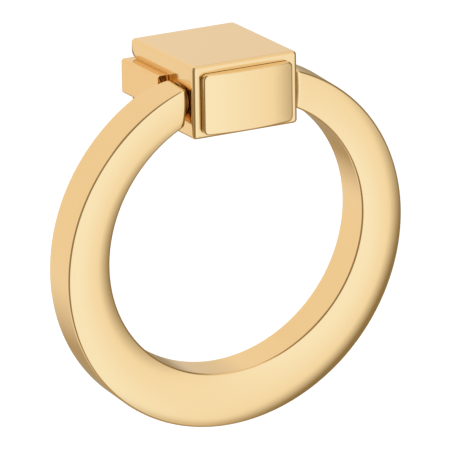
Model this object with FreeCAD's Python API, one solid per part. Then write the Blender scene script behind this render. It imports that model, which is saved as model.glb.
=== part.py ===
import FreeCAD, Part
import math
import os

# Ring pull handle for a drawer or door.
# Frame: X across the pull, Y into the drawer front, Z up. The origin is on the
# mounting face, in the middle of the housing, where the screw enters.
Vec = FreeCAD.Vector

# Housing, the block that stands off the drawer front
housing_width = 22.7
housing_height = 14.3
housing_depth = 24.9
housing_edge_radius = 0.8

# Stop bar, set in a cross slot in the back of the housing
bar_overhang = 2.2
bar_height = 6.9
bar_edge_radius = 0.6
slot_mouth_radius = 2.8

# Mounting screw hole, tapping size for an M4 thread
screw_hole_radius = 1.65
screw_hole_depth = 12.0
screw_hole_chamfer = 0.4

# Front panel, crowned from side to side, with a tenon in a pocket of the housing
panel_side_margin = 0.85
panel_top_margin = 0.7
panel_bottom_margin = 0.15
panel_corner_radius = 1.1
panel_edge_thickness = 1.1
panel_crown_radius = 45.0
panel_edge_radius = 0.5
tenon_width = 12.0
tenon_height = 6.0
tenon_length = 2.0
tenon_clearance = 0.05
tenon_end_gap = 0.2

# Pivot axis of the ring, along X, behind the housing's front and below its middle
pivot_setback = 5.9
pivot_drop = 0.35

# Ring, with its outer and inner circles set off from each other: at its two ends the
# outer circle passes above the pivot axis, and the inner one below it by the fall
ring_outer_radius = 36.5
ring_mean_width = 8.9
ring_half_depth = 3.8
ring_end_fall = 4.1
ring_end_relief_rim = 0.35
ring_crown_height = 0.7
ring_edge_radius = 0.5
ring_end_edge_radius = 0.8
ring_rest_tilt = 4.0
ring_rest_gap = 0.025

# Pivot pins and the washers on them
pin_radius = 1.25
pin_length_in_housing = 6.0
pin_length_in_ring = 2.8
pin_end_chamfer = 0.2
pin_running_clearance = 0.05
pin_fit_clearance = 0.01
pin_end_gap = 0.2
washer_radius = 3.35
washer_thickness = 0.4
washer_end_gap = 0.15
washer_bore_clearance = 0.05
washer_edge_chamfer = 0.1

# Places worked out from the sizes above
half_width = housing_width / 2
half_height = housing_height / 2
bar_half_width = half_width + bar_overhang
bar_half_height = bar_height / 2
pivot_y = -housing_depth + pivot_setback
pivot_z = -pivot_drop
tilt = math.radians(ring_rest_tilt)
bar_front_y = (pivot_y + ring_half_depth / math.cos(tilt)
               + (bar_half_height - pivot_drop) * math.tan(tilt) + ring_rest_gap)
ring_end_x = half_width + washer_thickness + washer_end_gap
ring_end_rise = ring_half_depth - ring_end_relief_rim
ring_inner_radius = ring_outer_radius - ring_mean_width
ring_crown_radius = ring_mean_width ** 2 / (8 * ring_crown_height) + ring_crown_height / 2
ring_outer_z = pivot_z + ring_end_rise - math.sqrt(ring_outer_radius ** 2 - ring_end_x ** 2)
ring_inner_z = pivot_z - ring_end_fall - math.sqrt(ring_inner_radius ** 2 - ring_end_x ** 2)
x_axis = Vec(1, 0, 0)
y_axis = Vec(0, 1, 0)

# Closest that two lengths or directions have to agree
length_tolerance = 1e-4
direction_tolerance = 1e-3


def block(x_low, x_high, y_low, y_high, z_low, z_high):
    """Box between two corners."""
    return Part.makeBox(x_high - x_low, y_high - y_low, z_high - z_low, Vec(x_low, y_low, z_low))


def edges_where(shape, test):
    """Edges of a shape whose middle passes a test."""
    return [edge for edge in shape.Edges if test(edge.BoundBox.Center, edge)]


def runs_along(edge, direction):
    """True when an edge is straight and parallel to a direction."""
    if not isinstance(edge.Curve, (Part.Line, Part.LineSegment)):
        return False
    return abs(edge.tangentAt(edge.FirstParameter).dot(direction)) > 1 - direction_tolerance


def near(value, target):
    """True when two lengths agree."""
    return abs(value - target) < length_tolerance


def rod(radius, x_low, x_high):
    """Cylinder along the pivot axis."""
    return Part.makeCylinder(radius, x_high - x_low, Vec(x_low, pivot_y, pivot_z), x_axis)


def mirrored(shape):
    """The same piece on the other side."""
    return shape.mirror(Vec(0, 0, 0), x_axis)


def make_housing():
    """Block with rounded edges, a cross slot behind, a pocket in front and two pin holes."""
    body = block(-half_width, half_width, -housing_depth, 0, -half_height, half_height)
    body = body.makeFillet(housing_edge_radius, body.Edges)
    body = body.cut(slot_space())

    pocket = block(-tenon_width / 2 - tenon_clearance, tenon_width / 2 + tenon_clearance,
                   -housing_depth, -housing_depth + tenon_length + tenon_end_gap,
                   -tenon_height / 2 - tenon_clearance, tenon_height / 2 + tenon_clearance)
    body = body.cut(pocket)
    hole_end_x = half_width - pin_length_in_housing - pin_end_gap
    hole = rod(pin_radius + pin_fit_clearance, hole_end_x, housing_width)
    return body.cut(hole).cut(mirrored(hole))


def slot_space():
    """Cross slot that the stop bar sits in, flared at its mouth by two round edges."""
    flare_half_height = bar_half_height + slot_mouth_radius
    space = block(-half_width, half_width, -slot_mouth_radius, 0, -flare_half_height, flare_half_height)
    for side in (-1, 1):
        space = space.cut(Part.makeCylinder(
            slot_mouth_radius, housing_width,
            Vec(-half_width, -slot_mouth_radius, side * flare_half_height), x_axis))
    return space.fuse(block(-half_width, half_width, bar_front_y, 0, -bar_half_height, bar_half_height))


def make_stop_bar():
    """Cross bar, rounded at its ends and back, with the blind screw hole in its back."""
    bar = block(-bar_half_width, bar_half_width, bar_front_y, 0, -bar_half_height, bar_half_height)
    bar = bar.makeFillet(bar_edge_radius, edges_where(
        bar, lambda mid, edge: not near(mid.y, bar_front_y)))
    hole = Part.makeCylinder(screw_hole_radius, screw_hole_depth, Vec(0, 0, 0), y_axis.negative())
    mouth = Part.makeCone(screw_hole_radius + screw_hole_chamfer, screw_hole_radius, screw_hole_chamfer,
                          Vec(0, 0, 0), y_axis.negative())
    return bar.cut(hole).cut(mouth)


def make_front_panel():
    """Round-cornered plate with a crowned face, soft front edges and a tenon behind."""
    half_x = half_width - housing_edge_radius - panel_side_margin
    low_z = -half_height + housing_edge_radius + panel_bottom_margin
    high_z = half_height - housing_edge_radius - panel_top_margin
    crown_sag = panel_crown_radius - math.sqrt(panel_crown_radius ** 2 - half_x ** 2)
    crest_y = -housing_depth - panel_edge_thickness - crown_sag

    plate = block(-half_x, half_x, crest_y, -housing_depth, low_z, high_z)
    plate = plate.makeFillet(panel_corner_radius, edges_where(
        plate, lambda mid, edge: runs_along(edge, y_axis)))
    plate = plate.common(Part.makeCylinder(panel_crown_radius, housing_height,
                                           Vec(0, crest_y + panel_crown_radius, -half_height)))
    plate = plate.makeFillet(panel_edge_radius, edges_where(
        plate, lambda mid, edge: mid.y < -housing_depth - panel_edge_thickness / 2
        and not runs_along(edge, y_axis)))

    tenon = block(-tenon_width / 2, tenon_width / 2, -housing_depth, -housing_depth + tenon_length,
                  -tenon_height / 2, tenon_height / 2)
    return plate.fuse(tenon).removeSplitter()


def make_ring():
    """Crowned ring, open at the top, with blind pin holes in its two ends."""
    back_y = pivot_y + ring_half_depth
    crest_y = pivot_y - ring_half_depth - ring_crown_height
    depth = back_y - crest_y
    ring = Part.makeCylinder(ring_outer_radius, depth, Vec(0, crest_y, ring_outer_z), y_axis)
    ring = ring.cut(Part.makeCylinder(ring_inner_radius, depth, Vec(0, crest_y, ring_inner_z), y_axis))
    ring = ring.common(ring_crown(back_y, crest_y, (ring_outer_z + ring_inner_z) / 2))

    ring = ring.cut(block(-ring_end_x, ring_end_x, crest_y, back_y, ring_inner_z, ring_outer_radius))
    ring = ring.cut(end_relief())
    ring = ring.makeFillet(ring_end_edge_radius, edges_where(ring, is_end_edge))
    ring = ring.makeFillet(ring_edge_radius, edges_where(ring, is_front_edge))
    hole = rod(pin_radius + pin_running_clearance, 0, ring_end_x + pin_length_in_ring + pin_end_gap)
    ring = ring.cut(hole).cut(mirrored(hole))
    ring.rotate(Vec(0, pivot_y, pivot_z), x_axis, ring_rest_tilt)
    return ring


def is_end_edge(mid, edge):
    """True for the edges round the ring's two flat ends."""
    return near(edge.BoundBox.XLength, 0) and near(abs(mid.x), ring_end_x)


def is_front_edge(mid, edge):
    """True for the long edges between the ring's walls and its crowned front."""
    return edge.BoundBox.YMax < pivot_y and edge.Length > ring_inner_radius


def ring_crown(back_y, crest_y, middle_z):
    """Round bar of the ring's crowned section, wider than the ring, about its middle circle."""
    middle = (ring_outer_radius + ring_inner_radius) / 2
    reach = ring_outer_radius - ring_inner_radius
    sag = ring_crown_radius - math.sqrt(ring_crown_radius ** 2 - reach ** 2)
    inside_back = Vec(middle - reach, back_y, middle_z)
    outside_back = Vec(middle + reach, back_y, middle_z)
    outside_front = Vec(middle + reach, crest_y + sag, middle_z)
    inside_front = Vec(middle - reach, crest_y + sag, middle_z)
    arc = Part.Arc(outside_front, Vec(middle, crest_y, middle_z), inside_front)
    outline = Part.Wire([
        Part.makeLine(inside_back, outside_back),
        Part.makeLine(outside_back, outside_front),
        arc.toShape(),
        Part.makeLine(inside_front, inside_back),
    ])
    return Part.Face(outline).revolve(Vec(0, 0, middle_z), y_axis, 360)


def end_relief():
    """Corner that is turned off the top back of both ends, so that they clear the stop bar."""
    reach = ring_outer_radius
    corner = block(-reach, reach, pivot_y, pivot_y + 2 * ring_half_depth, pivot_z, pivot_z + reach)
    return corner.cut(rod(ring_half_depth, -reach, reach))


def make_pin():
    """Right-hand pivot pin, with a chamfer at each end."""
    pin = rod(pin_radius, half_width - pin_length_in_housing, ring_end_x + pin_length_in_ring)
    return pin.makeChamfer(pin_end_chamfer, edges_where(
        pin, lambda mid, edge: near(edge.BoundBox.XLength, 0)))


def make_washer():
    """Right-hand washer between the housing and the ring."""
    washer = rod(washer_radius, half_width, half_width + washer_thickness)
    washer = washer.makeChamfer(washer_edge_chamfer, edges_where(
        washer, lambda mid, edge: near(edge.BoundBox.XLength, 0)))
    return washer.cut(rod(pin_radius + washer_bore_clearance, 0, housing_width))


pin = make_pin()
washer = make_washer()
pieces = {
    "housing": make_housing(),
    "stop_bar": make_stop_bar(),
    "front_panel": make_front_panel(),
    "ring": make_ring(),
    "pivot_pin_left": mirrored(pin),
    "pivot_pin_right": pin,
    "pivot_washer_left": mirrored(washer),
    "pivot_washer_right": washer,
}

os.makedirs("parts", exist_ok=True)
for name, shape in pieces.items():
    shape.exportStep("parts/" + name + ".step")
    print(name, "valid", shape.isValid(), "solids", len(shape.Solids), "volume", round(shape.Volume, 2))
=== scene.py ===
import math

import bpy
import numpy as np
from mathutils import Matrix, Vector


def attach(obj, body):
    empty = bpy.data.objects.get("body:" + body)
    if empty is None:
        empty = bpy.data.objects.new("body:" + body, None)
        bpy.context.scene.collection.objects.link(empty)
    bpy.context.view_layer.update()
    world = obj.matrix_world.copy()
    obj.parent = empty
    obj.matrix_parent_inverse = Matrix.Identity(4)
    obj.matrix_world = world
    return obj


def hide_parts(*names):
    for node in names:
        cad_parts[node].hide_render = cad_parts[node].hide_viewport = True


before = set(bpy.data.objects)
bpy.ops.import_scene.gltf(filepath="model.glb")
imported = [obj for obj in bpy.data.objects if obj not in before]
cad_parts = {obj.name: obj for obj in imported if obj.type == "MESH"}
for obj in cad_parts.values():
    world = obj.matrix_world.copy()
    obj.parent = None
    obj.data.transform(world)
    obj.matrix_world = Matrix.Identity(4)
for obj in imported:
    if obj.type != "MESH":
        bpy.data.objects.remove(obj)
bpy.context.view_layer.update()
print("frame loaded")

mm = 0.001                                  # the shapes below are worked out in millimetres


# colours, nodes and materials

def linearColour(hexCode):
    # sRGB hex to the linear colour that the shaders take
    channels = [int(hexCode[i:i + 2], 16) / 255 for i in (0, 2, 4)]
    return [c / 12.92 if c <= 0.04045 else ((c + 0.055) / 1.055) ** 2.4 for c in channels] + [1.0]


def addNode(tree, kind, links=None, **settings):
    # one node with its own settings, its socket values and its incoming links
    node = tree.nodes.new(kind)
    for key, value in settings.items():
        if key.startswith("in_"):
            name = key[3:].replace("_", " ")
            node.inputs[int(name) if name.isdigit() else name].default_value = value
        else:
            setattr(node, key, value)
    for socket, source in (links or {}).items():
        tree.links.new(source, node.inputs[socket])
    return node


def newMaterial(name):
    material = bpy.data.materials.new(name)
    material.use_nodes = True
    material.node_tree.nodes.clear()
    return material, material.node_tree


# Satin brass, cast, ground with a fine belt and lacquered: pale gold, soft wide highlights,
# a faint grain that shows only where the light falls off
satinBrass = {
    "colour": "EFCE97",
    "roughness": 0.12,
    "grainMm": 0.35,                        # coarser than the real 0.1 mm grit lines, so that it shows
    "grainDepthMm": 0.0012,
    "grainStrength": 0.04,
    "grainDetail": 3.0,
    "grainSoftness": 0.55,
    "grainSpan": (0.3, 0.7),                # the noise's values that take up the whole roughness spread
    "roughnessSpread": 0.03,
    "stopBarColourWithPaintedReflection": "EFC88C",              # a little warmer than the rest: painted reflection of the brass housing, warming the bar towards the crease
}

# Turned brass rod, bare: a little browner and darker than the lacquered pieces
turnedBrass = {"colour": "B98F58", "roughness": 0.33}

# where the housing's edges beside the slot are softened: within reach of the middle height and
# behind the front, each with a short fade
slotEdges = {"radiusMm": 1.2, "reachMm": 5.6, "reachFadeMm": 0.6, "frontMm": -22.0, "frontFadeMm": 1.0,
             "samples": 8}


def softEdges(tree, place, edges):
    # ground edges beside the slot: the faces run softly into each other there, and nowhere else
    parts = addNode(tree, "ShaderNodeSeparateXYZ", {"Vector": place.outputs["Object"]})
    height = addNode(tree, "ShaderNodeMath", {0: parts.outputs["Z"]}, operation="ABSOLUTE")
    beside = addNode(tree, "ShaderNodeMapRange", {"Value": height.outputs["Value"]},
                     in_From_Min=edges["reachMm"] * mm,
                     in_From_Max=(edges["reachMm"] + edges["reachFadeMm"]) * mm,
                     in_To_Min=1.0, in_To_Max=0.0)
    behind = addNode(tree, "ShaderNodeMapRange", {"Value": parts.outputs["Y"]},
                     in_From_Min=edges["frontMm"] * mm,
                     in_From_Max=(edges["frontMm"] + edges["frontFadeMm"]) * mm,
                     in_To_Min=0.0, in_To_Max=1.0)
    share = addNode(tree, "ShaderNodeMath", {0: beside.outputs["Result"], 1: behind.outputs["Result"]},
                    operation="MULTIPLY")
    plain = addNode(tree, "ShaderNodeNewGeometry")
    rounded = addNode(tree, "ShaderNodeBevel", samples=edges["samples"], in_Radius=edges["radiusMm"] * mm)
    return addNode(tree, "ShaderNodeMix", {0: share.outputs["Value"], 4: plain.outputs["Normal"],
                                           5: rounded.outputs["Normal"]}, data_type="VECTOR").outputs[1]


def brassMaterial(name, colour, roughness, edges=None):
    material, tree = newMaterial(name)
    place = addNode(tree, "ShaderNodeTexCoord")
    grain = addNode(tree, "ShaderNodeTexNoise", {"Vector": place.outputs["Object"]},
                    in_Scale=1 / (satinBrass["grainMm"] * mm),
                    in_Detail=satinBrass["grainDetail"], in_Roughness=satinBrass["grainSoftness"])
    rough = addNode(tree, "ShaderNodeMapRange", {"Value": grain.outputs["Fac"]},
                    in_From_Min=satinBrass["grainSpan"][0], in_From_Max=satinBrass["grainSpan"][1],
                    in_To_Min=roughness - satinBrass["roughnessSpread"] / 2,
                    in_To_Max=roughness + satinBrass["roughnessSpread"] / 2)
    bump = addNode(tree, "ShaderNodeBump", {"Height": grain.outputs["Fac"]},
                   in_Strength=satinBrass["grainStrength"], in_Distance=satinBrass["grainDepthMm"] * mm)
    if edges:
        tree.links.new(softEdges(tree, place, edges), bump.inputs["Normal"])
    metal = addNode(tree, "ShaderNodeBsdfPrincipled",
                    {"Roughness": rough.outputs["Result"], "Normal": bump.outputs["Normal"]},
                    in_Base_Color=linearColour(colour), in_Metallic=1.0)
    addNode(tree, "ShaderNodeOutputMaterial", {"Surface": metal.outputs["BSDF"]})
    return material


ringBrass = brassMaterial("ringSatinBrass", satinBrass["colour"], satinBrass["roughness"])
housingBrass = brassMaterial("housingSatinBrass", satinBrass["colour"], satinBrass["roughness"], slotEdges)
panelBrass = brassMaterial("panelSatinBrass", satinBrass["colour"], satinBrass["roughness"])
# the stop bar's warmer colour is a painted reflection of the housing's brass in it
stopBarPaintedReflectionBrass = brassMaterial("stopBarBrassWithPaintedReflection", satinBrass["stopBarColourWithPaintedReflection"], satinBrass["roughness"])
pivotBrass = brassMaterial("pivotTurnedBrass", turnedBrass["colour"], turnedBrass["roughness"])
print("materials ready")


# meshes from grids

def meshFromRows(name, rows, material, sharpAngle=36):
    # rows is an (n, m, 3) array in mm: row i joins row i + 1 by quads, each row closes on itself,
    # and the first and last rows close on their middle points
    count, across = rows.shape[:2]
    points = np.concatenate([rows.reshape(-1, 3), rows[[0, -1]].mean(axis=1)]) * mm
    i, j = np.meshgrid(np.arange(count - 1), np.arange(across), indexing="ij")
    right = (j + 1) % across
    quads = np.stack([i * across + j, i * across + right,
                      (i + 1) * across + right, (i + 1) * across + j], axis=-1).reshape(-1, 4)
    k = np.arange(across)
    nextK = (k + 1) % across
    firstPole, lastPole = count * across, count * across + 1
    lastRow = (count - 1) * across
    fans = np.concatenate([np.stack([np.full(across, firstPole), nextK, k], axis=-1),
                           np.stack([np.full(across, lastPole), lastRow + k, lastRow + nextK], axis=-1)])
    triangles = np.concatenate([quads[:, [0, 1, 2]], quads[:, [0, 2, 3]], fans])
    a, b, c = (points[triangles[:, n]] for n in range(3))
    faces = quads.tolist() + fans.tolist()
    if np.einsum("ij,ij->i", a, np.cross(b, c)).sum() < 0:      # inside out: turn every face
        faces = [face[::-1] for face in faces]
    mesh = bpy.data.meshes.new(name)
    mesh.from_pydata(points.tolist(), [], faces)
    mesh.polygons.foreach_set("use_smooth", np.ones(len(mesh.polygons), bool))
    mesh.set_sharp_from_angle(angle=math.radians(sharpAngle))
    mesh.materials.append(material)
    piece = bpy.data.objects.new(name, mesh)
    bpy.context.scene.collection.objects.link(piece)
    return piece


def edgeInset(depth, radius):
    # how far a rounded edge of that radius lies inside its side at a depth below the face
    below = np.clip(radius - depth, 0, radius)
    return radius - np.sqrt(radius ** 2 - below ** 2)


def edgeSteps(radius, count=7):
    # depths at equal angles round the edge
    return radius * (1 - np.cos(np.linspace(0, np.pi / 2, count)))


# ring: outer and inner circles with centres apart, a crowned front and relieved ends

ring = {
    "outerRadius": 36.5, "innerRadius": 27.6, "outerZ": -31.4057, "innerZ": -29.3528,
    "pivotY": -19.0, "pivotZ": -0.35, "endX": 11.9,
    "halfDepth": 3.8, "crownHeight": 0.7, "crownRadius": 14.493,
    "creaseRadius": 0.5, "backEdgeRadius": 0.15, "endEdgeRadius": 0.8,
    "tilt": 4.0, "holeRadius": 1.3, "holeDepth": 3.0, "holeEdge": 0.05, "leastRadius": 0.02,
    "stations": 360, "endSteps": 8, "settleRounds": 12,
}
ringMiddleZ = (ring["outerZ"] + ring["innerZ"]) / 2
ringMiddleRadius = (ring["outerRadius"] + ring["innerRadius"]) / 2

# places of the section's points, as shares of a flat side, a round corner, the crown and an end face
sideShares = np.array([0, 0.02, 0.2, 0.4, 0.6, 0.8, 0.98, 1])
cornerShares = np.linspace(0, 1, 6)[1:-1]
crownShares = np.concatenate([[0, 0.01], np.linspace(0.06, 0.94, 19), [0.99, 1]])
endFaceShares = (0.02, 0.35, 0.7, 0.97, 1.0)


def ringRadius(angle, radius, centreZ):
    # distance from the middle circle's centre to a circle set off along Z, in the direction of
    # the angle from +Z: shift * cos(angle) + sqrt(radius^2 - shift^2 * sin(angle)^2)
    shift = centreZ - ringMiddleZ
    return shift * np.cos(angle) + np.sqrt(radius ** 2 - (shift * np.sin(angle)) ** 2)


def ringSection(angle, inset):
    # the section's outline at each angle, as distance from the middle centre and y: back, outer
    # wall, crown and inner wall, joined by round corners and drawn in by the inset all round
    middle = ringMiddleRadius
    crest = ring["pivotY"] - ring["halfDepth"] - ring["crownHeight"]
    crownY = crest + ring["crownRadius"]
    crown = ring["crownRadius"] - inset
    crease = np.maximum(ring["creaseRadius"] - inset, ring["leastRadius"])
    backEdge = np.maximum(ring["backEdgeRadius"] - inset, ring["leastRadius"])
    columns, start = [], 0

    def wall(count, outer):
        sign = 1 if outer else -1
        part = angle[:, start:start + count]
        circle = ringRadius(part, ring["outerRadius" if outer else "innerRadius"],
                            ring["outerZ" if outer else "innerZ"])
        return sign, part, circle - sign * inset

    def backY(distance, part):
        # flat back, turned about the pivot where it rises above the pivot axis
        up = np.clip(ringMiddleZ + distance * np.cos(part) - ring["pivotZ"], 0, ring["halfDepth"] - inset)
        return ring["pivotY"] + np.sqrt((ring["halfDepth"] - inset) ** 2 - up ** 2)

    def creaseCentre(edge, sign):
        # centre of the round corner that touches both the wall and the crown
        distance = edge - sign * crease
        return distance, crownY - np.sqrt((crown - crease) ** 2 - (distance - middle) ** 2)

    def backCorner(count, outer, turn):
        sign, part, edge = wall(count, outer)
        distance = edge - sign * backEdge
        y = backY(distance, part) - backEdge
        return distance + sign * backEdge * np.cos(turn), y + backEdge * np.sin(turn)

    def creaseCorner(count, outer, share):
        sign, part, edge = wall(count, outer)
        distance, y = creaseCentre(edge, sign)
        slope = np.arctan2(crownY - y, sign * (distance - middle))      # crown's normal there
        turn = share * slope
        return distance + sign * crease * np.cos(turn), y - crease * np.sin(turn)

    corner = len(cornerShares)

    # back, from the inner to the outer side
    count = len(sideShares)
    part = angle[:, start:start + count]
    low = ringRadius(part, ring["innerRadius"], ring["innerZ"]) + inset + backEdge
    high = ringRadius(part, ring["outerRadius"], ring["outerZ"]) - inset - backEdge
    distance = low + sideShares * (high - low)
    columns.append((distance, backY(distance, part)))
    start += count
    # outer back corner
    columns.append(backCorner(corner, True, (1 - cornerShares) * np.pi / 2))
    start += corner
    # outer wall
    sign, part, edge = wall(count, True)
    top = backY(edge - backEdge, part) - backEdge
    bottom = creaseCentre(edge, sign)[1]
    columns.append((edge + 0 * sideShares, top + sideShares * (bottom - top)))
    start += count
    # outer crease
    columns.append(creaseCorner(corner, True, cornerShares))
    start += corner
    # crown, from the outer to the inner side, at equal angles about the crown's centre
    count = len(crownShares)
    sign, part, edge = wall(count, True)
    outerTurn = np.arcsin((edge - crease - middle) / (crown - crease))
    sign, part, edge = wall(count, False)
    innerTurn = np.arcsin((edge + crease - middle) / (crown - crease))
    turn = outerTurn + crownShares * (innerTurn - outerTurn)
    columns.append((middle + crown * np.sin(turn), crownY - crown * np.cos(turn)))
    start += count
    # inner crease
    columns.append(creaseCorner(corner, False, cornerShares[::-1]))
    start += corner
    # inner wall
    count = len(sideShares)
    sign, part, edge = wall(count, False)
    top = backY(edge + backEdge, part) - backEdge
    bottom = creaseCentre(edge, sign)[1]
    columns.append((edge + 0 * sideShares, bottom + sideShares * (top - bottom)))
    start += count
    # inner back corner
    columns.append(backCorner(corner, False, cornerShares * np.pi / 2))
    return (np.concatenate([c[0] for c in columns], axis=1),
            np.concatenate([c[1] for c in columns], axis=1))


def ringRows():
    # the section is carried round the middle circle from one end plane to the other; near an end
    # each point's angle follows from its own distance, so that the end is flat: x = distance * sin(angle)
    across = 3 * len(sideShares) + 4 * len(cornerShares) + len(crownShares)
    steps = ring["endSteps"]
    endDepths = edgeSteps(ring["endEdgeRadius"], steps)
    depths = np.concatenate([endDepths, np.full(ring["stations"], ring["endEdgeRadius"]), endDepths[::-1]])
    shares = np.concatenate([np.zeros(steps), np.linspace(0, 1, ring["stations"] + 2)[1:-1], np.ones(steps)])
    inset = edgeInset(depths, ring["endEdgeRadius"])[:, None]
    planeX = ring["endX"] + depths[:, None]

    def anglesAt(distance):
        first = np.arcsin(planeX / distance)
        return first + shares[:, None] * (2 * np.pi - 2 * first)

    distance = np.full((len(depths), across), ringMiddleRadius)
    for _ in range(ring["settleRounds"]):   # distance and angle settle on each other
        distance, y = ringSection(anglesAt(distance), inset)
    angle = anglesAt(distance)
    body = np.stack([distance * np.sin(angle), y, ringMiddleZ + distance * np.cos(angle)], axis=-1)

    # flat end down to the pin hole, the hole's wall and its floor
    pivot = np.array([ring["endX"], ring["pivotY"], ring["pivotZ"]])
    outline = body[0]
    spoke = outline - pivot
    circle = pivot + spoke / np.linalg.norm(spoke, axis=1)[:, None] * ring["holeRadius"]
    face = [outline + share * (circle - outline) for share in endFaceShares]
    depth, edge = ring["holeDepth"], ring["holeEdge"]
    hole = [circle + np.array([d, 0, 0]) for d in (edge, depth / 2, depth - edge, depth)]
    end = np.array(face + hole)[::-1]
    otherEnd = end[::-1] * np.array([-1, 1, 1])
    rows = np.concatenate([end, body, otherEnd])

    tilt = math.radians(ring["tilt"])
    y, z = rows[..., 1] - ring["pivotY"], rows[..., 2] - ring["pivotZ"]
    rows[..., 1] = ring["pivotY"] + y * math.cos(tilt) - z * math.sin(tilt)
    rows[..., 2] = ring["pivotZ"] + y * math.sin(tilt) + z * math.cos(tilt)
    return rows


ringPiece = meshFromRows("ringBody", ringRows(), ringBrass)
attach(ringPiece, "ring")
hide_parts("ring")
print("ring", len(ringPiece.data.polygons))


# front panel: a round-cornered outline carried up the side, over the rounded edge and then
# drawn in over the crowned face to its middle

panel = {
    "halfWidth": 9.7, "lowZ": -6.2, "highZ": 5.65, "cornerRadius": 1.1, "backY": -24.9,
    "edgeThickness": 1.1, "crownRadius": 45.0, "edgeRadius": 0.4, "groove": 0.2, "grooveDepth": 0.2,
    "cornerStep": 0.01, "edgeSteps": 10,
}
panelFaceShares = np.concatenate([[0.995], np.linspace(0.95, 0.05, 19)])    # towards the face's middle


def plateOutline(halfX, halfZ, corner, perCorner=9, perSide=9):
    # rectangle with round corners, starting on the right side
    pieces = []
    side = np.linspace(0, 1, perSide)[1:-1]
    for k, (sx, sz) in enumerate([(1, 1), (-1, 1), (-1, -1), (1, -1)]):
        turn = np.radians(90 * k + np.linspace(0, 90, perCorner))
        centre = np.array([sx * (halfX - corner), sz * (halfZ - corner)])
        pieces.append(centre + corner * np.stack([np.cos(turn), np.sin(turn)], axis=1))
        nextX, nextZ = [(-1, 1), (-1, -1), (1, -1), (1, 1)][k]
        after = np.array([nextX * (halfX - corner), nextZ * (halfZ - corner)])
        startTurn = np.radians(90 * (k + 1))
        offset = corner * np.array([np.cos(startTurn), np.sin(startTurn)])
        pieces.append(centre + offset + side[:, None] * (after - centre))
    return np.concatenate(pieces)


def panelRows():
    # face: y = crest + crown radius - sqrt(crown radius^2 - x^2); over the edge the outline is drawn
    # in by r * (1 - cos t) while y leaves the face by r * (1 - sin t)
    p = panel
    crownR, r = p["crownRadius"], p["edgeRadius"]
    crestY = p["backY"] - p["edgeThickness"] - (crownR - math.sqrt(crownR ** 2 - p["halfWidth"] ** 2))
    halfHeight, middleZ = (p["highZ"] - p["lowZ"]) / 2, (p["highZ"] + p["lowZ"]) / 2

    def row(inset, y=None, share=1.0, lift=0.0):
        outline = plateOutline(p["halfWidth"] - inset, halfHeight - inset, p["cornerRadius"] - inset) * share
        face = crestY + crownR - np.sqrt(crownR ** 2 - outline[:, 0] ** 2)
        return np.stack([outline[:, 0], face + lift if y is None else np.full(len(face), y),
                         middleZ + outline[:, 1]], axis=1)

    # turned in behind, so that a fine seam shows; a short step on both sides keeps each corner sharp
    groove, step = p["groove"], p["cornerStep"]
    grooveY = p["backY"] - p["grooveDepth"]
    rows = [row(groove, p["backY"]), row(groove, grooveY + step), row(groove - step, grooveY),
            row(step, grooveY), row(0, grooveY - step)]
    for t in np.linspace(0, np.pi / 2, p["edgeSteps"]):
        rows.append(row(r * (1 - math.cos(t)), lift=r * (1 - math.sin(t))))
    for share in panelFaceShares:
        rows.append(row(r, share=share))
    return np.array(rows)


panelPiece = meshFromRows("crownedFrontPanel", panelRows(), panelBrass)
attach(panelPiece, "base")
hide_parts("front_panel")
print("panel", len(panelPiece.data.polygons))


# pieces whose solids already have the right shape get the finish only

for nodeName, material in (("housing", housingBrass), ("stop_bar", stopBarPaintedReflectionBrass),
                           ("pivot_pin_left", pivotBrass), ("pivot_pin_right", pivotBrass),
                           ("pivot_washer_left", pivotBrass), ("pivot_washer_right", pivotBrass)):
    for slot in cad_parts[nodeName].material_slots:
        slot.material = material


# studio: a pale sweep, even white light and a surround for the metal alone

studio = {
    "floorZ": -0.25, "halfWidth": 2.5, "frontY": -0.25, "bendY": 1.6, "bendRadius": 0.6, "topZ": 1.6,
    "bendSteps": 24,
    "floorColour": "FCFCFB",
    "cameraLift": 0.12,                     # brings the sweep up to white for the camera
}


def makeSweep():
    # floor, quarter bend and back wall as one strip
    s = studio
    turn = np.linspace(0, np.pi / 2, s["bendSteps"])
    path = np.concatenate([
        [[s["frontY"], s["floorZ"]]],
        np.stack([s["bendY"] + s["bendRadius"] * np.sin(turn),
                  s["floorZ"] + s["bendRadius"] * (1 - np.cos(turn))], axis=1),
        [[s["bendY"] + s["bendRadius"], s["topZ"]]],
    ])
    points = np.concatenate([np.insert(path, 0, -s["halfWidth"], axis=1),
                             np.insert(path, 0, s["halfWidth"], axis=1)])
    n = len(path)
    k = np.arange(n - 1)
    faces = np.stack([k, k + n, k + n + 1, k + 1], axis=1)
    mesh = bpy.data.meshes.new("studioSweep")
    mesh.from_pydata(points.tolist(), [], faces.tolist())
    mesh.polygons.foreach_set("use_smooth", np.ones(len(mesh.polygons), bool))
    sweep = bpy.data.objects.new("studioSweep", mesh)
    bpy.context.scene.collection.objects.link(sweep)
    material, tree = newMaterial("studioPaper")
    lightPath = addNode(tree, "ShaderNodeLightPath")
    paper = addNode(tree, "ShaderNodeBsdfDiffuse", in_Color=linearColour(s["floorColour"]))
    seen = addNode(tree, "ShaderNodeMath", {0: lightPath.outputs["Is Camera Ray"]},
                   operation="MULTIPLY", in_1=s["cameraLift"])
    lift = addNode(tree, "ShaderNodeEmission", {"Strength": seen.outputs["Value"]})
    both = addNode(tree, "ShaderNodeAddShader", {0: paper.outputs["BSDF"], 1: lift.outputs["Emission"]})
    addNode(tree, "ShaderNodeOutputMaterial", {"Surface": both.outputs["Shader"]})
    mesh.materials.append(material)
    return sweep


sweep = makeSweep()
sweep.visible_glossy = False                # the metal shows the surround below instead

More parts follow.
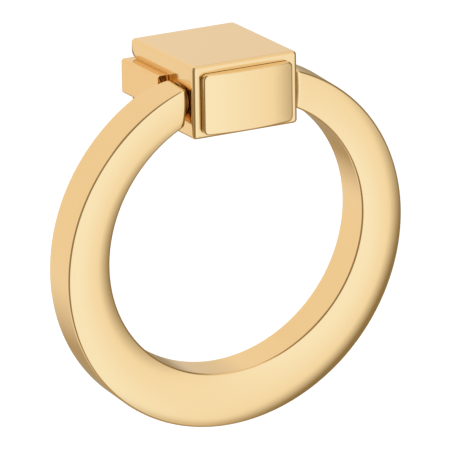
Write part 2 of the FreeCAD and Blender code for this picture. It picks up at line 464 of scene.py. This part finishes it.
# what the metal sees: a cool and a white card in front, dark flags on both sides, a pale wall behind
surround = {
    "diffuseLevel": 0.95,
    "topLevel": 1.6,
    "lights": {"coolCard": (1.1, 1.25, 1.5), "whiteCard": (1.05, 1.08, 1.12), "flag": (0.3, 0.25, 0.16),
               "wall": (1.0, 0.95, 0.88), "warmWall": (0.5, 0.4, 0.25)},
    # angle from the front in degrees, to the right, where each light starts or ends
    "around": [(-180, "warmWall"), (-155, "wall"), (-112, "wall"), (-80, "flag"), (-32, "flag"),
               (-15, "coolCard"), (10, "coolCard"), (42, "whiteCard"), (64, "flag"), (120, "flag"),
               (180, "warmWall")],
    "above": [(-180, "wall"), (-112, "wall"), (-80, "flag"), (-30, "flag"), (-13, "coolCard"),
              (15, "coolCard"), (42, "whiteCard"), (64, "flag"), (120, "flag"), (155, "wall"), (180, "wall")],
    "overhead": [(-180, "wall"), (-110, "flag"), (-25, "flag"), (15, "wall"), (180, "wall")],
    "floor": "warmWall",                    # straight below
    # height of a direction on the unit sphere where one part gives way to the next
    "aboveFrom": (-0.15, 0.15), "overheadFrom": (0.6, 0.76), "floorFrom": (-0.74, -0.95),
}


def lightColour(name):
    # a light's levels as a share of the top level, which the world's strength brings back
    return [level / surround["topLevel"] for level in surround["lights"][name]] + [1.0]


def angleRamp(tree, share, stops):
    # colour by the angle, as one linear ramp over the whole turn
    ramp = addNode(tree, "ShaderNodeValToRGB", {"Fac": share})
    ramp.color_ramp.interpolation = "LINEAR"
    elements = ramp.color_ramp.elements
    while len(elements) > 1:
        elements.remove(elements[-1])
    for n, (degrees, name) in enumerate(stops):
        stop = elements[0] if n == 0 else elements.new((degrees + 180) / 360)
        stop.position = (degrees + 180) / 360
        stop.color = lightColour(name)
    return ramp.outputs["Color"]


def heightMix(tree, height, span, lower, upper):
    # goes over softly from one colour to another between two heights; upper may be a light's name
    share = addNode(tree, "ShaderNodeMapRange", {"Value": height}, interpolation_type="SMOOTHSTEP",
                    in_From_Min=span[0], in_From_Max=span[1], in_To_Min=0.0, in_To_Max=1.0)
    links = {0: share.outputs["Result"], 6: lower}
    if isinstance(upper, str):
        return addNode(tree, "ShaderNodeMix", links, data_type="RGBA", in_7=lightColour(upper)).outputs[2]
    return addNode(tree, "ShaderNodeMix", {**links, 7: upper}, data_type="RGBA").outputs[2]


def makeWorld():
    world = bpy.data.worlds.new("studioSurround")
    bpy.context.scene.world = world
    world.use_nodes = True
    tree = world.node_tree
    tree.nodes.clear()
    place = addNode(tree, "ShaderNodeTexCoord")
    parts = addNode(tree, "ShaderNodeSeparateXYZ", {"Vector": place.outputs["Generated"]})
    height = parts.outputs["Z"]
    ahead = addNode(tree, "ShaderNodeMath", {0: parts.outputs["Y"]}, operation="MULTIPLY", in_1=-1.0)
    angle = addNode(tree, "ShaderNodeMath", {0: parts.outputs["X"], 1: ahead.outputs["Value"]},
                    operation="ARCTAN2")
    share = addNode(tree, "ShaderNodeMapRange", {"Value": angle.outputs["Value"]},
                    in_From_Min=-math.pi, in_From_Max=math.pi, in_To_Min=0.0, in_To_Max=1.0)
    around = angleRamp(tree, share.outputs["Result"], surround["around"])
    above = angleRamp(tree, share.outputs["Result"], surround["above"])
    walls = heightMix(tree, height, surround["aboveFrom"], around, above)
    withFloor = heightMix(tree, height, surround["floorFrom"], walls, surround["floor"])
    overhead = angleRamp(tree, share.outputs["Result"], surround["overhead"])
    everything = heightMix(tree, height, surround["overheadFrom"], withFloor, overhead)
    graded = addNode(tree, "ShaderNodeBackground", {"Color": everything}, in_Strength=surround["topLevel"])
    even = addNode(tree, "ShaderNodeBackground", in_Strength=surround["diffuseLevel"])
    white = addNode(tree, "ShaderNodeBackground", in_Strength=1.0)
    for node in (even, white):
        node.inputs["Color"].default_value = (1, 1, 1, 1)
    lightPath = addNode(tree, "ShaderNodeLightPath")
    inMetal = addNode(tree, "ShaderNodeMixShader",
                      {0: lightPath.outputs["Is Glossy Ray"], 1: even.outputs[0], 2: graded.outputs[0]})
    inView = addNode(tree, "ShaderNodeMixShader",
                     {0: lightPath.outputs["Is Camera Ray"], 1: inMetal.outputs[0], 2: white.outputs[0]})
    addNode(tree, "ShaderNodeOutputWorld", {"Surface": inView.outputs[0]})


makeWorld()

softbox = {"size": 1.2, "power": 6.0, "place": (-0.9, -1.1, 1.3), "aim": (0, 0, -0.03)}
lampData = bpy.data.lights.new("softboxAboveLeft", "AREA")
lampData.shape, lampData.size, lampData.energy = "SQUARE", softbox["size"], softbox["power"]
lamp = bpy.data.objects.new("softboxAboveLeft", lampData)
lamp.location = softbox["place"]
lamp.rotation_euler = (Vector(softbox["aim"]) - lamp.location).to_track_quat("-Z", "Y").to_euler()
lamp.visible_glossy = False                 # the surround above already holds what the metal mirrors
bpy.context.scene.collection.objects.link(lamp)
print("studio ready")


# camera, fitted to the photograph's outline

view = {"azimuth": -28.88, "elevation": 17.28, "roll": -0.79, "distance": 1.33997,
        "shiftX": 0.00815, "shiftZ": -0.0308, "lens": 556.67, "sensor": 36.0, "clip": (0.05, 20)}

azimuth, elevation, roll = (math.radians(view[k]) for k in ("azimuth", "elevation", "roll"))
back = Vector((math.sin(azimuth) * math.cos(elevation), -math.cos(azimuth) * math.cos(elevation),
               math.sin(elevation)))
right = Vector((math.cos(azimuth), math.sin(azimuth), 0))
up = back.cross(right)
rolledRight = right * math.cos(roll) + up * math.sin(roll)
rolledUp = up * math.cos(roll) - right * math.sin(roll)
cameraData = bpy.data.cameras.new("photoCamera")
cameraData.lens, cameraData.sensor_width = view["lens"], view["sensor"]
cameraData.clip_start, cameraData.clip_end = view["clip"]
camera = bpy.data.objects.new("photoCamera", cameraData)
turn = Matrix((rolledRight, rolledUp, back)).transposed().to_4x4()
camera.matrix_world = Matrix.Translation(
    rolledRight * view["shiftX"] + rolledUp * view["shiftZ"] + back * view["distance"]) @ turn
bpy.context.scene.collection.objects.link(camera)
bpy.context.scene.camera = camera
bpy.context.scene.view_settings.view_transform = "Standard"

print("scene ready")
